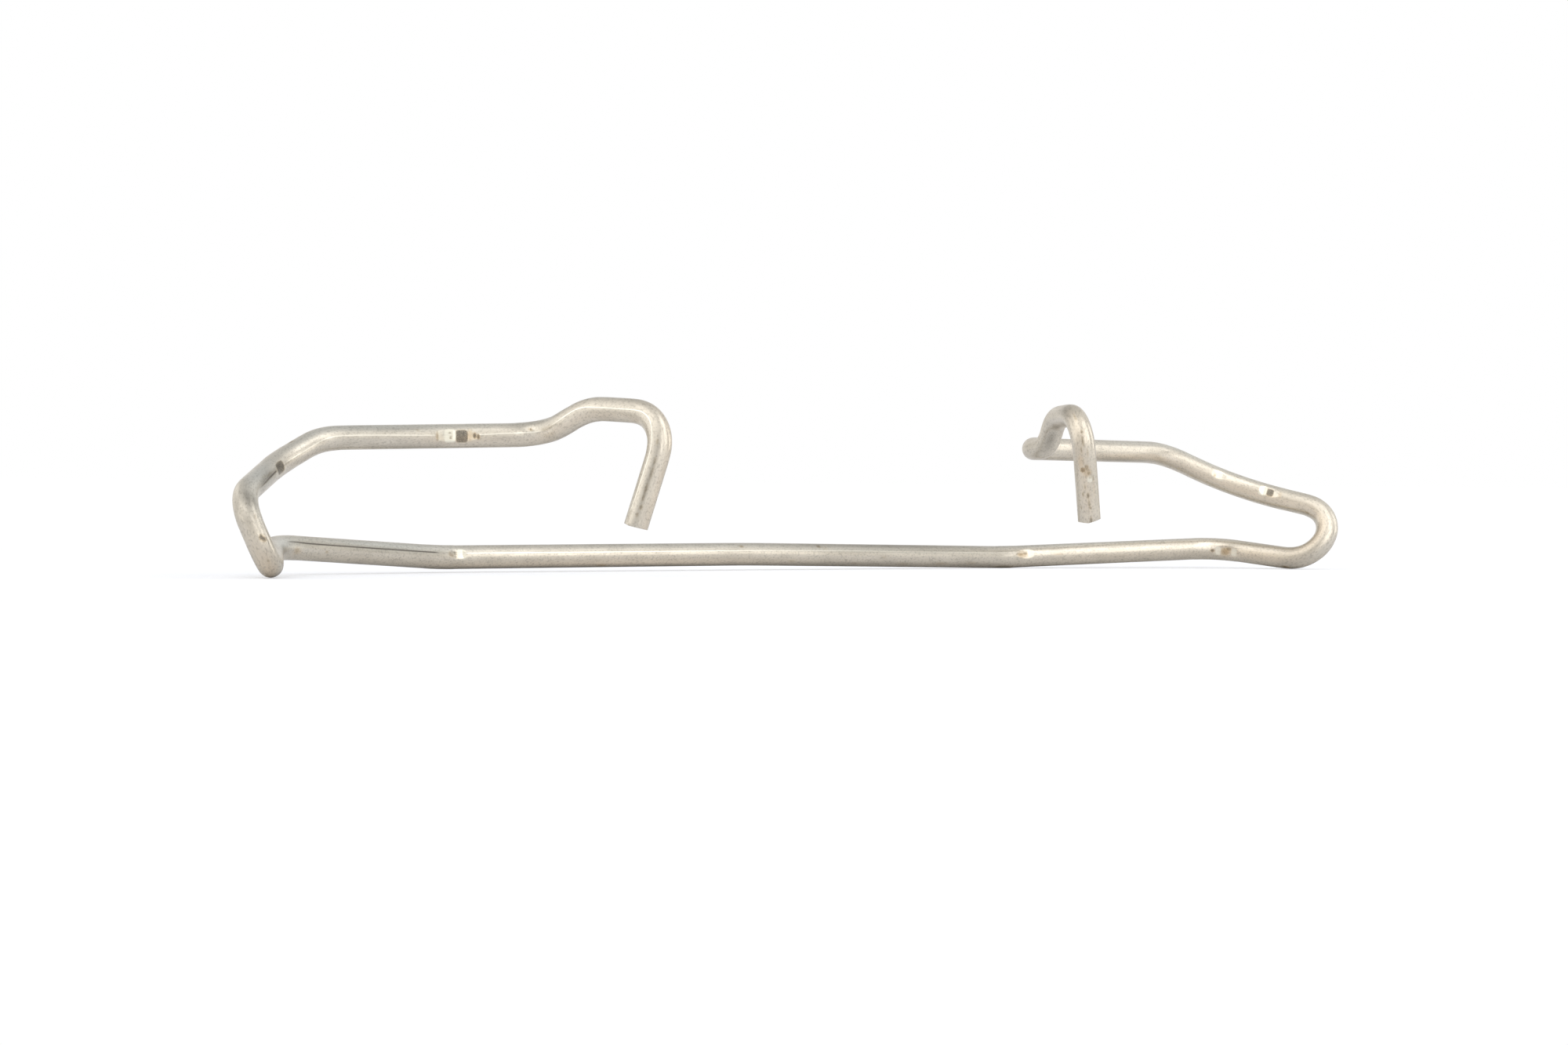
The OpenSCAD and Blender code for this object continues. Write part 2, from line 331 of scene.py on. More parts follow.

# %% [markdown]
# ## Stains, and rubbed metal with a painted highlight
#
# The finish is uneven in known places: brown oxide sits in and near the tool marks, and the
# marks' own floors are brighter, partly metal rubbed bright and partly a painted highlight on the
# flats. These places are listed here, before the grid, because the grid has to be fine enough to
# carry them. A spot is an ellipse: [along, angle, half length in mm, half width in degrees,
# strength], where 1 is the darkest. The floor of a mark is a block with straight edges instead:
# [start, end, angle, half width, strength].

# %% Spots of stain and of bright metal
STAINS = [
    # the jaw's mark on the upper left run, and specks near it
    (41.38, 13, .22, 14, 1), (40.94, 8, .18, 13, .8), (44.5, 3, .18, 5, .9), (44.45, 13, .25, 3, .6),
    (44.6, 30, .22, 4, .9), (46.25, 14, .16, 22, .5), (33.2, 35, .2, 7, .75), (32.95, 31, .12, 5, .5),
    (33.6, 40, .3, 6, .25), (48.75, 44, .22, 8, .3),
    # the left loop and its foot
    (73.25, 27, .5, 13, 1), (65.97, 101, .35, 8, .8), (89.28, 73, .27, 10, 1), (89.5, 65, .25, 9, 1),
    (89.66, 58, .2, 8, .7), (76.28, 14, 2.2, 5, .45), (79.29, 9, 1.6, 5, .4), (76.98, 27, 1.1, 6, .3),
    (78.69, 35, .8, 6, .25), (75.37, -4, .7, 6, .25), (111.1, 40, .5, 12, .3), (116.34, 38, .25, 7, .4),
    (91.52, 88, .3, 6, .2), (87.05, 62, .3, 6, .25),
    # the left arm, the bar and the right arm
    (136.95, 10, .2, 14, .3), (137.85, 3, .32, 4, .65), (137.9, 12, .28, 4, .6),
    (137.3, 18, .35, 8, .35), (137.95, 25, .28, 3, .55), (160.09, 83, .8, 10, .3),
    (181.79, 343, .3, 8, .5), (194.29, 338, .35, 10, .6), (195.29, 349, .4, 15, .2),
    (200.29, 73, .9, 10, .2), (208.29, 73, 1.1, 10, .2), (214.79, 68, 1.3, 10, .25),
    (219.79, 63, .9, 10, .2), (225.79, 93, 1.6, 15, .5), (189.79, 61, .5, 8, .25),
    (204.79, 35, .4, 8, .2), (229.05, 10, .3, 10, .55), (228.2, 15, .5, 8, .25),
    (258.15, 35, .36, 8, .95), (260.95, 22, .45, 11, .5), (260.3, 44, .8, 22, .3),
    (269.59, 89, .5, 12, .5),
    # the right loop and its climb
    (281.79, 311, .35, 7, .4), (296.3, -1, .2, 8, .5), (301.59, 314, .3, 8, .2),
    (299.29, 303, .3, 8, .2),
    # the right leg
    (358.79, 128, .3, 12, .7), (358.49, 108, .4, 10, .49), (359.25, 98, .2, 9, .5),
    (360.1, 76, .4, 5, .4), (359.89, 92, .2, 12, .42), (354.49, 108, .16, 7, .7),
    (355.39, 113, .5, 5, .63), (362.29, 110, .4, 7, .77), (362.09, 135, .3, 6, .49),
    (363.39, 108, .6, 5, .59), (363.99, 103, .2, 6, .63), (363.89, 151, .3, 6, .42),
    (362.99, 158, .15, 7, .42), (365.69, 103, .45, 5, .84), (361.09, 122, .3, 5, .42),
    (356.69, 96, .5, 5, .35), (356.29, 126, .4, 5, .42), (352.69, 118, .5, 6, .35),
    # the left leg
    (4.98, 50, .7, 7, .39), (3.78, 50, .5, 7, .35), (2.58, 54, .32, 8, .56), (1.58, 47, .3, 7, .42),
    (6.98, 54, .9, 7, .31), (10.68, 45, .35, 7, .35), (8.48, 52, .5, 7, .31),
]
RUST = [  # ellipses of a brown tint
    (41.4, 15, .28, 16, .75), (40.92, 8, .24, 13, .6), (41.95, 17, .45, 28, .8),
    (46.25, 14, .28, 22, .3), (45.78, 14, .3, 24, .2), (44.48, 13, .3, 24, .2), (33.2, 35, .4, 7, .25),
    (65.97, 101, .4, 9, .5), (89.45, 67, .4, 16, .35), (91.81, 75, 1.6, 30, .14),
    (72.88, 30, .5, 12, .3), (111.1, 40, 1, 20, .35), (116.34, 38, .3, 8, .15),
    (137.4, 13, .7, 17, .15), (259.1, 38, .5, 22, .3), (261.9, 40, .5, 20, .3),
    (160.09, 83, .8, 10, .3), (181.79, 343, .3, 8, .4), (194.29, 338, .35, 10, .3),
    (228.5, 14, .9, 20, .6), (233.99, 23, .8, 5, .3), (258.15, 35, .4, 8, .6),
    (260.4, 35, 1.6, 30, .35), (260.45, 35, .85, 26, .65), (269.59, 89, .5, 12, .5),
    (296.34, 4, .28, 10, .5), (286.39, 12, .3, 18, .25), (358.79, 128, .36, 14, .75),
    (359.2, 104, .6, 24, .45), (357.69, 135, .9, 16, .35), (358.59, 106, .45, 12, .35),
    (361.49, 75, 1.2, 8, .2),
]
BLOCKS = [  # dark floors
    (42.26, 43.86, 12, 31, .92), (71.2, 73.95, 15, 28, .92), (287.36, 288.36, 10, 20, .95),
]
# bright floors: metal rubbed by the tools, and a painted highlight where a flat should shine
BURNISHED_AND_HIGHLIGHTED = [  # bright floors
    (43.86, 45.35, 14, 33, 1), (41.5, 42.26, 17, 28, .25), (45.35, 46.2, 15, 26, .4),
    (138.2, 139.45, 12, 27, .75), (137.5, 138.3, 12, 28, .3), (229.44, 230.3, 12, 20, .6),
    (286.7, 287.3, 9, 14, .25), (258.7, 259.6, 36, 23, .7), (261.45, 262.4, 38, 21, .7),
    (288.39, 289.54, 12, 28, .9), (294.8, 296.8, 8, 26, .4), (359.7, 360.5, 95, 13, .8),
]
print(len(STAINS), "stained spots,", len(BLOCKS), "dark and", len(BURNISHED_AND_HIGHLIGHTED), "bright floors of marks")

# %% [markdown]
# Over longer stretches the colour changes softly. Most of the first list is painted highlights
# and painted shade: brighter where a highlight should run, darker along the wire's top and
# underside and on some highlights. The rest is a duller or cleaner drawn skin. The second list is
# partly the skin's own warm cast and partly a painted tint of warm and cool reflections and glare.
# An ellipse with an edge would look painted on, so these fade out softly and add up where they
# meet. Each is [along, angle, half length, half width, amount]. In the first list the amount is
# the share of the light that is won or lost. In the second, red rises and blue falls by a little
# more than half of it.

# %% Painted highlights and shade, duller skin, and painted tints
PAINTED_LIGHT_AND_DULL_SKIN = [
    # the left leg, its hook and the upper left run
    (5.8, 50, 5.6, 9, -.34), (9.4, 82, 3.5, 12, .1), (19, -12, 4, 15, .2), (29.8, 2, 2.7, 20, .44),
    (25, -68, 9, 14, -.2), (4, 95, 5, 20, .12), (14.4, -30, 2, 14, .15), (24.8, 2, 3, 12, .12),
    (30, 68, 5, 16, -.2), (34.8, 52, 3, 16, -.16), (35.4, -48, 5, 20, -.15), (50.4, 50, 4, 15, -.24),
    (56.4, 52, 4, 16, -.16), (49.9, -40, 4.5, 20, -.18), (56, 14, 6, 9, -.08), (44.4, -60, 5, 14, -.28),
    (45, 90, 5, 12, .2),
    # the left climb, loop and arm
    (66.4, 40, 3.2, 15, .38), (62.4, 14, 2.6, 20, .18), (72.6, 20, 1.6, 20, -.2),
    (78, 22, 3.8, 28, -.46), (84.9, 85, 1.25, 46, -.5), (85.7, 132, .9, 15, -.25),
    (76.9, -30, 4, 14, .14), (85.3, 48, .8, 16, -.25), (87.4, 100, 1, 45, -.12), (90.3, 27, 2, 11, -.3),
    (94.7, 85, .9, 42, -.42), (122.8, 6, 13, 12, -.28), (111.6, 17, 1.6, 8, -.3),
    (123.8, 106, 13, 14, -.18),
    # the bar
    # painted shade along the bar's top and underside, and a dimmed highlight
    (163.5, -60, 36, 16, -.36), (163.5, 98, 34, 14, -.5), (163.5, 64, 22, 9, .12),
    (162, 3, 26, 7, -.18), (160, 19, 24, 6, .08), (150.5, 30, 26, 10, .06), (206.5, -32, 19, 30, -.36),
    (199.5, 74, 14, 17, -.24), (222.5, 76, 5, 16, -.24), (226.7, 10, 2, 14, -.2),
    (228.5, 12, .7, 18, -.14), (236, 28, 5, 11, .1), (206, 4, 20, 10, -.08), (230, 15, 2, 20, .06),
    # the right arm, foot, climb and run
    (246.5, -26, 16, 13, .24), (250.5, 24, 12, 14, .08), (257.5, 0, 3, 22, .14), (259.2, 0, 1, 9, .14),
    (261.5, -1, 1.1, 9, -.26), (259.1, 40, .6, 18, .2), (261.9, 42, .5, 18, .2), (254, 32, 5, 11, .1),
    (270.5, 62, 3, 24, -.22), (272.5, 15, 4, 40, -.1), (273.5, 18, 3, 22, -.16), (306.5, 20, 4, 14, .1),
    (313.5, -50, 8, 13, -.3), (313.5, -10, 9, 11, .24), (298.9, 12, 2.8, 12, -.2),
    (291.5, 66, 9, 12, .16), (302, -45, 6, 14, -.1), (327, -55, 4, 14, -.15), (327, 18, 3, 22, .12),
    (304, -4, 2.6, 12, .14),
    # the right hook and leg
    (340, -112, 2.8, 28, -.4), (350.6, 138, 1.7, 32, -.34), (359.5, 38, 5, 16, -.18),
    (354.5, 36, 2.5, 14, -.12), (362.8, 80, 1.8, 14, .1), (366.3, 60, 1, 80, -.14),
]
# a warm cast: partly the skin's own, partly a painted tint of warm and cool reflections and glare
CAST_AND_PAINTED_TINTS = [
    (5, 108, 9, 26, .08), (4, -12, 5, 12, -.05), (25, -20, 13, 24, .06), (43.5, -2, 5, 20, .08),
    (28, 86, 12, 16, -.06), (55, 72, 18, 32, -.12), (79.5, 60, 5.5, 50, -.12), (78.5, 0, 5, 24, -.05),
    (86.5, 20, 3, 25, -.06), (92.5, 112, 4, 38, .09), (106, 0, 6, 45, -.12), (125, -18, 13, 30, -.12),
    (175, -28, 45, 26, -.07), (206, 2, 18, 14, -.05), (164, 62, 30, 36, .08), (238, -42, 22, 18, -.07),
    (244, 40, 12, 20, .06), (266, 36, 7, 28, .11), (275, -5, 5, 18, .08), (290, -22, 13, 24, .12),
    (312, -25, 12, 24, .06), (303, 62, 20, 24, -.09), (357.5, 130, 6, 35, .07), (363, 110, 4, 30, .05),
]
print(len(PAINTED_LIGHT_AND_DULL_SKIN), "duller or cleaner stretches, and", len(CAST_AND_PAINTED_TINTS), "warmer or greyer ones")


# %% How a spot, a stretch and a floor fade
def spots(s, angle, ellipses):
    """Each ellipse fades as exp(-(distance in half axes) to the fourth); the darkest counts."""
    cover = np.zeros_like(s)
    for along, centre, half_length, half_width, strength in ellipses:
        away = ((s - along) / half_length) ** 2 + (away_from(angle, centre) / half_width) ** 2
        cover = np.maximum(cover, strength * np.exp(-away ** 2))
    return cover


def soft_sum(s, angle, ellipses):
    """The sum of soft ellipses, each of which fades as exp(-(distance in half axes) squared)."""
    total = np.zeros_like(s)
    for along, centre, half_length, half_width, amount in ellipses:
        away = ((s - along) / half_length) ** 2 + (away_from(angle, centre) / half_width) ** 2
        total += amount * np.exp(-away)
    return total


def patches(s, angle, blocks, edge=0.14):
    """Each block is 1 inside a rounded oblong and 0 outside. Its edge is where the fourth powers of
    the distances from its middle, in half lengths and half widths, add up to 1. The value falls
    there over `edge` millimetres."""
    cover = np.zeros_like(s)
    for start, end, centre, half_width, strength in blocks:
        half_length = (end - start) / 2
        lengthwise = np.abs(s - (start + end) / 2) / half_length
        crosswise = away_from(angle, centre) / half_width
        reach = (lengthwise ** 4 + crosswise ** 4) ** 0.25
        cover = np.maximum(cover, strength * np.clip((1 - reach) * half_length / edge + 0.5, 0, 1))
    return cover


half_way = spots(np.zeros(1), 0, [(0.5, 0, 1, 1, 1)])[0]
print(f"half way out, a stain keeps {half_way:.2f} of its strength")

# %% [markdown]
# ## Rings and columns
#
# A grid of even spacing would either miss the small marks or hold millions of faces. So the
# rings stand close together in bends, in flats and across spots, and far apart on plain
# straight wire, where they add nothing. A bend's rings are at most four degrees apart, however
# tight the bend is.

# %% Where rings and columns go
COLUMNS = 78
TURN_STEP = 0.07  # radians from ring to ring in a bend
PLAIN, IN_FLAT, IN_SPOT, AT_KINK, IN_LEG = 1.5, 0.1, 0.17, 0.5, 0.45  # mm from ring to ring
LEFT_LEG = 14  # mm of wire, along which the groove runs and the die line wanders
FINE = 0.01  # mm between the places where the spacing is worked out
BLUR = 30  # of those places to each side, over which one spacing passes into the next


def ring_places():
    """Arc lengths of the rings. The number of rings per millimetre is added up along the wire,
    and a ring goes wherever the sum passes a whole number."""
    fine = np.arange(0, WIRE_LENGTH, FINE)
    spacing = np.full(fine.shape, PLAIN)

    def no_wider(start, end, step):
        inside = (fine > start) & (fine < end)
        spacing[inside] = np.minimum(spacing[inside], step)

    for k in range(1, len(corners) - 1):
        no_wider(bend_start[k] - 0.5, bend_start[k] + bend_length[k] + 0.5, TURN_STEP * bend_radius[k])
    for _, profile in PRESSED_FLATS.values():
        no_wider(profile[0][0] - 0.2, profile[-1][0] + 0.2, IN_FLAT)
    for along, _, half_length, _, _ in STAINS + RUST:
        step = max(IN_SPOT, half_length / 3)
        no_wider(along - 1.4 * half_length - 0.1, along + 1.4 * half_length + 0.1, step)
    for kink in DIE_LINE[1:-1, 0]:
        no_wider(kink - 0.6, kink + 0.6, AT_KINK)
    no_wider(0, LEFT_LEG, IN_LEG)
    blur = np.exp(-np.linspace(-2.5, 2.5, 2 * BLUR + 1) ** 2)
    rate = np.convolve(np.pad(1 / spacing, BLUR, mode="edge"), blur / blur.sum(), mode="valid")
    passed = np.concatenate([[0], np.cumsum(rate)]) * FINE
    whole = np.arange(0, int(passed[-1]) + 1) * passed[-1] / int(passed[-1])
    return np.interp(whole, passed, np.append(fine, WIRE_LENGTH))


line_edge = LINE_COLUMNS[-1, 0]
elsewhere = np.linspace(line_edge, 360 - line_edge, COLUMNS - len(LINE_COLUMNS) + 2)[1:-1]
on_line = len(LINE_COLUMNS) // 2
after_line, before_line = LINE_COLUMNS[on_line:], LINE_COLUMNS[:on_line]
columns = np.radians(np.concatenate([after_line[:, 0], elsewhere, before_line[:, 0] + 360]))
thread_share, scratch_share = [
    np.concatenate([after_line[:, k], 0 * elsewhere, before_line[:, k]]) for k in (1, 2)
]
rings = ring_places()
print(len(rings), "rings of", len(columns), "points")

# %% [markdown]
# ## The sheared ends
#
# The wire was cut to length in a shear, which leaves two slanted faces that meet in a blunt
# ridge. The last rings are squeezed along the wire until the end one lies on those slants, and
# smaller rings of the same kind close the end, down to one point in its middle.

# %% The shape of a sheared end
RIM_ROUND = 0.05  # mm that the rim is rounded off by
END_RINGS = (0.993, 0.985, 0.967, 0.94, 0.7, 0.45, 0.2)  # share of the radius, from the rim inward
SQUEEZED = 2.5  # mm of wire whose rings make room for the slants
# [ridge's place to the right of the axis, slope on its left, slope on its right, slope toward the camera]
SHEARS = [(-0.85, 0.19, 0.06, 0.02), (-0.2, 0.17, 0.22, 0.20)]


def shear_depth(across, end, angle):
    """How far back from the tip the cut lies: the distance beside the ridge times the slope on
    that side, plus the height toward the camera times its slope."""
    right_angle, near_angle, (ridge, left_slope, right_slope, near_slope) = end
    beside = across * np.cos(angle - right_angle) - ridge
    nearer = across * np.cos(angle - near_angle)
    return np.where(beside > 0, beside * right_slope, -beside * left_slope) + nearer * near_slope


tip_places, tip_heads, tip_sides = follow_wire(np.array([0.0, WIRE_LENGTH]))
ends = []
for n, shear in enumerate(SHEARS):
    second_side = np.cross(tip_heads[n], tip_sides[n])
    right_angle, near_angle = [
        np.arctan2(way @ second_side, way @ tip_sides[n]) for way in (picture_right, -looks)
    ]
    ends.append((right_angle, near_angle, shear))
right_degrees = [round(np.degrees(end[0])) for end in ends]
print("the picture's right is", right_degrees, "degrees round the wire at its ends")

# %% [markdown]
# ## The wire's surface
#
# Now the surface is one grid: rings along the wire, columns round it. Every point is the centre
# of its ring plus the radius times a direction across the wire. Three things change the radius:
# the marks of the tools, the die line, and a very slight swelling where the wire is bent.

# %% Work out the grid of points
SWELL = 0.02  # mm that a bend is thicker by
SWELL_RISE = 0.5  # mm of wire over which it gets so
LEAST_TURN = 0.1  # radians: the bar's slight bow doesn't swell
LINE_HEIGHT = 0.013  # mm that the die line stands up, or its scratch lies deep
WIPED_OUT = 0.03  # mm of pressing that leaves nothing of the die line


def bend_swelling(s):
    """Rises evenly from 0 to SWELL over the first and last SWELL_RISE of each bend."""
    swelling = np.zeros_like(s)
    for k in range(1, len(corners) - 1):
        if turn[k] > LEAST_TURN:
            inside = np.minimum(s - bend_start[k], bend_start[k] + bend_length[k] - s)
            swelling = np.maximum(swelling, SWELL * np.clip(inside / SWELL_RISE, 0, 1))
    return swelling


def along_wire(s, angle, radius):
    """A point of the surface: centre(s) + radius x (cosine of the angle x carried direction +
    sine of the angle x the direction across both). s, angle and radius are grids."""
    place, ahead, side = eased_wire(s.ravel())
    second = np.cross(ahead, side)
    out = np.cos(angle).ravel()[:, None] * side + np.sin(angle).ravel()[:, None] * second
    return (place + radius.ravel()[:, None] * out).reshape(s.shape + (3,))


s_grid = np.repeat(rings[:, None], len(columns), axis=1)
angle_grid = columns[None, :] + die_angle(rings)[:, None]
radius_grid = pressed_radius(s_grid, angle_grid)
strength = np.interp(rings, DIE_LINE[:, 0], DIE_LINE[:, 2])[:, None]
thread = np.where(strength > 0, strength * thread_share, strength * scratch_share)
untouched = np.clip(1 - (WIRE_RADIUS - radius_grid) / WIPED_OUT, 0, 1)
radius_grid += LINE_HEIGHT * thread * untouched + bend_swelling(s_grid)
for n, end in enumerate(ends):
    # From the tip inward, `away` runs from 0; the first stretch is squeezed to start at the rim
    away = s_grid if n == 0 else WIRE_LENGTH - s_grid
    rim = shear_depth(WIRE_RADIUS, end, angle_grid) + RIM_ROUND
    away = np.where(away < SQUEEZED, rim + away * (SQUEEZED - rim) / SQUEEZED, away)
    s_grid = away if n == 0 else WIRE_LENGTH - away
print("radius from", round(radius_grid.min(), 3), "to", round(radius_grid.max(), 3), "mm")

# %% [markdown]
# The caps come next. Each is a stack of rings that shrink toward the leg's axis, with the first
# ones a little back from the cut, so that the rim is rounded. A single point closes the pole.

# %% Add the end caps
def end_cap(n):
    """Rings of radius share x r that lie on the shear's slants. Near the rim they fall back by
    a quarter circle, RIM_ROUND deep."""
    tip = n * WIRE_LENGTH
    share = np.array(END_RINGS)[:, None]
    angle = (columns + die_angle(np.array([tip])))[None, :] + 0 * share
    inset = (1 - share) * WIRE_RADIUS
    fall = RIM_ROUND * (1 - np.sqrt(1 - np.clip(1 - inset / RIM_ROUND, 0, 1) ** 2))
    radius = WIRE_RADIUS * share + 0 * angle
    back = shear_depth(radius, ends[n], angle) + fall
    return (back if n == 0 else WIRE_LENGTH - back), angle, radius


first_s, first_angle, first_radius = end_cap(0)
last_s, last_angle, last_radius = end_cap(1)
all_s = np.vstack([first_s[::-1], s_grid, last_s])
all_angle = np.vstack([first_angle[::-1], angle_grid, last_angle])
all_radius = np.vstack([first_radius[::-1], radius_grid, last_radius])
all_thread = np.vstack([0 * first_s, thread, 0 * last_s])
points = along_wire(all_s, all_angle, all_radius)
ring_count, column_count = all_s.shape
pole_backs = [shear_depth(0, end, 0) for end in ends]
poles = tip_places + np.array([[pole_backs[0]], [-pole_backs[1]]]) * tip_heads
print(ring_count, "rings with the caps")

# %% [markdown]
# The faces are the same for any grid that closes on itself: each point, its neighbour round the
# ring, and the two points of the next ring. Triangles join the first and last rings to the
# poles.

# %% Build the mesh
index = np.arange(ring_count * column_count).reshape(ring_count, column_count)
beside = np.roll(index, -1, axis=1)
quads = np.stack([index[:-1], beside[:-1], beside[1:], index[1:]], axis=-1).reshape(-1, 4)
first_pole, last_pole = index.size, index.size + 1
first_fan = np.stack([beside[0], index[0], np.full(column_count, first_pole)], axis=-1)
last_fan = np.stack([index[-1], beside[-1], np.full(column_count, last_pole)], axis=-1)
vertices = np.vstack([points.reshape(-1, 3), poles]) * MM

wire_mesh = bpy.data.meshes.new("spring_wire_bent")
wire_mesh.from_pydata(vertices, [], quads.tolist() + first_fan.tolist() + last_fan.tolist())
wire_mesh.polygons.foreach_set("use_smooth", np.ones(len(wire_mesh.polygons), bool))
wire = bpy.data.objects.new("spring_wire_bent", wire_mesh)
bpy.context.scene.collection.objects.link(wire)

loop_vertex = np.zeros(len(wire_mesh.loops), int)
wire_mesh.loops.foreach_get("vertex_index", loop_vertex)
print(len(vertices), "points,", 2 * len(quads) + 2 * column_count, "triangles")

# %% [markdown]
# ## Values painted on the points
#
# The finish needs to know where it is on the wire. Object coordinates would cut across the bends,
# so attributes are stored on the points instead. "straightened" is where the point would be if
# the wire were straight again, so that grain along the wire follows every bend. "stain" and
# "rust" carry the spots and their brown tints, and "thread" the die line, whose bright thread is a
# painted highlight. Three more carry the rubbed floors, partly a painted highlight on the flats,
# the painted highlights and painted shade with the duller skin, and the warm cast with its painted
# tint. The UV map unrolls the wire: U runs along it and V round it.

# %% Store the attributes
def on_points(name, values, kind="FLOAT"):
    """Stores one value, or one vector, on each point of the wire; the poles take zeros."""
    layer = wire_mesh.attributes.new(name, kind, "POINT")
    width = 1 if kind == "FLOAT" else 3
    flat = np.vstack([np.reshape(values, (-1, width)), np.zeros((2, width))])
    layer.data.foreach_set("value" if width == 1 else "vector", flat.astype(np.float32).ravel())


stain = np.maximum(spots(all_s, all_angle, STAINS), patches(all_s, all_angle, BLOCKS))
burnish_and_highlight = patches(all_s, all_angle, BURNISHED_AND_HIGHLIGHTED) * (1 - spots(all_s, all_angle, STAINS))
circle = WIRE_RADIUS * np.cos(all_angle), WIRE_RADIUS * np.sin(all_angle)
straightened = np.stack([*circle, all_s], axis=-1)
on_points("straightened", straightened, "FLOAT_VECTOR")
on_points("stain", stain)
on_points("rust", spots(all_s, all_angle, RUST))
on_points("painted_light_and_dull_skin", soft_sum(all_s, all_angle, PAINTED_LIGHT_AND_DULL_SKIN))
on_points("cast_and_painted_tint", soft_sum(all_s, all_angle, CAST_AND_PAINTED_TINTS))
on_points("burnish_and_highlight", burnish_and_highlight)
on_points("thread", all_thread)
stained_share, burnished_and_highlit_share = [100 * (layer > 0.1).mean() for layer in (stain, burnish_and_highlight)]
print(f"stained {stained_share:.1f}% and burnished {burnished_and_highlit_share:.1f}% of the points")

# %% [markdown]
# The columns close on themselves, but a UV map has to be cut somewhere. In the faces that close
# the ring, V would fall from nearly 1 back to 0, so there it goes on to 1 instead.

# %% Store the UV map
UV_PER_MM = 0.01
along_uv = np.append(all_s.ravel(), [0, WIRE_LENGTH])
round_uv = np.append(np.tile(np.arange(column_count), ring_count), [0, 0]) / column_count
uv = np.stack([along_uv[loop_vertex], round_uv[loop_vertex]], axis=-1)
corner_counts = [4] * len(quads) + [3] * (2 * column_count)
face_of_loop = np.repeat(np.arange(len(corner_counts)), corner_counts)
highest = np.zeros(len(corner_counts))
np.maximum.at(highest, face_of_loop, uv[:, 1])
wraps = (highest[face_of_loop] > 0.9) & (uv[:, 1] < 0.1)
uv[wraps, 1] += 1
uv *= [UV_PER_MM, UV_PER_MM * 2 * np.pi * WIRE_RADIUS]
wire_mesh.uv_layers.new(name="unrolled").data.foreach_set("uv", uv.astype(np.float32).ravel())
print("the UV map covers", uv.max(axis=0).round(2))

# %% [markdown]
# ## The finish of drawn steel
#
# Seen close, the wire is satin steel with a warm cast. A colour and a roughness would give a
# plastic tube, so the material adds layers: fine grain drawn along the wire, specks a fifth of a
# millimetre across, soft clouds over a few millimetres, painted highlights and painted shade with
# some duller stretches, a warm cast that is partly a painted tint of reflections and glare, brown
# oxide in the tool marks, smoother metal where the tools rubbed with a painted highlight on the
# flats, and the die line with its thread painted as a highlight.

# %% A small helper that adds nodes by name
def add_node(tree, kind, inputs=None, **settings):
    """Makes a node, sets its properties, and fills its inputs with values or links."""
    node = tree.nodes.new(kind)
    for key, value in settings.items():
        setattr(node, key, value)
    for key, value in (inputs or {}).items():
        if isinstance(value, bpy.types.NodeSocket):
            tree.links.new(value, node.inputs[key])
        else:
            node.inputs[key].default_value = value
    return node


def between(tree, value, low, high, to_low=0.0, to_high=1.0):
    """Maps a value from the range low..high to another range, and stops at its ends."""
    ends = {"Value": value, "From Min": low, "From Max": high, "To Min": to_low, "To Max": to_high}
    return add_node(tree, "ShaderNodeMapRange", ends).outputs["Result"]


def mix_colours(tree, share, first, second, blend="MIX"):
    """Mixes two colours by a share."""
    node = add_node(tree, "ShaderNodeMix", data_type="RGBA", blend_type=blend)
    for socket, value in ((0, share), (6, first), (7, second)):
        if isinstance(value, bpy.types.NodeSocket):
            tree.links.new(value, node.inputs[socket])
        else:
            node.inputs[socket].default_value = value if socket == 0 else (*value, 1.0)
    return node.outputs[2]


def sum_of(tree, first, second, operation="ADD"):
    """One sum of two values, each a number or a socket: ADD, MULTIPLY, MAXIMUM and so on."""
    return add_node(tree, "ShaderNodeMath", {0: first, 1: second}, operation=operation).outputs[0]


def noise(tree, where, stretched, scale, detail=2.0, roughness=0.5):
    """A cloud pattern read at coordinates that are first multiplied by `stretched`."""
    scaled = add_node(tree, "ShaderNodeMapping", {"Vector": where, "Scale": stretched})
    inputs = {"Vector": scaled.outputs["Vector"], "Scale": scale, "Detail": detail}
    return add_node(tree, "ShaderNodeTexNoise", {**inputs, "Roughness": roughness}).outputs["Fac"]


# %% Start the steel
STEEL = (0.665, 0.61, 0.517)
DULL = (0.505, 0.46, 0.385)
TAN = (0.92, 0.88, 0.81)  # multiplies the steel where it is lightly stained
BROWN = (0.80, 0.63, 0.42)  # multiplies it where it is rusty
OXIDE = (0.165, 0.148, 0.122)
# the bright floors' colour: rubbed metal, and partly a painted highlight
RUBBED_AND_HIGHLIGHT = (0.82, 0.785, 0.66)
# the die line's bright thread: a painted highlight
THREAD_HIGHLIGHT = (0.98, 0.94, 0.82)
SCORED = (0.11, 0.10, 0.085)
EDGE_TINT = (0.95, 0.945, 0.94, 1)  # multiplies what the steel mirrors at a grazing angle
RED_GAIN, BLUE_GAIN = 0.56, -0.62  # change of red and of blue for a warmth of 1

steel = bpy.data.materials.new("drawn_steel")
steel.use_nodes = True
tree = steel.node_tree
tree.nodes.clear()
out = add_node(tree, "ShaderNodeOutputMaterial")
polish = {"Metallic": 1.0, "IOR": 1.45, "Specular Tint": EDGE_TINT}
surface = add_node(tree, "ShaderNodeBsdfPrincipled", polish)
tree.links.new(surface.outputs["BSDF"], out.inputs["Surface"])

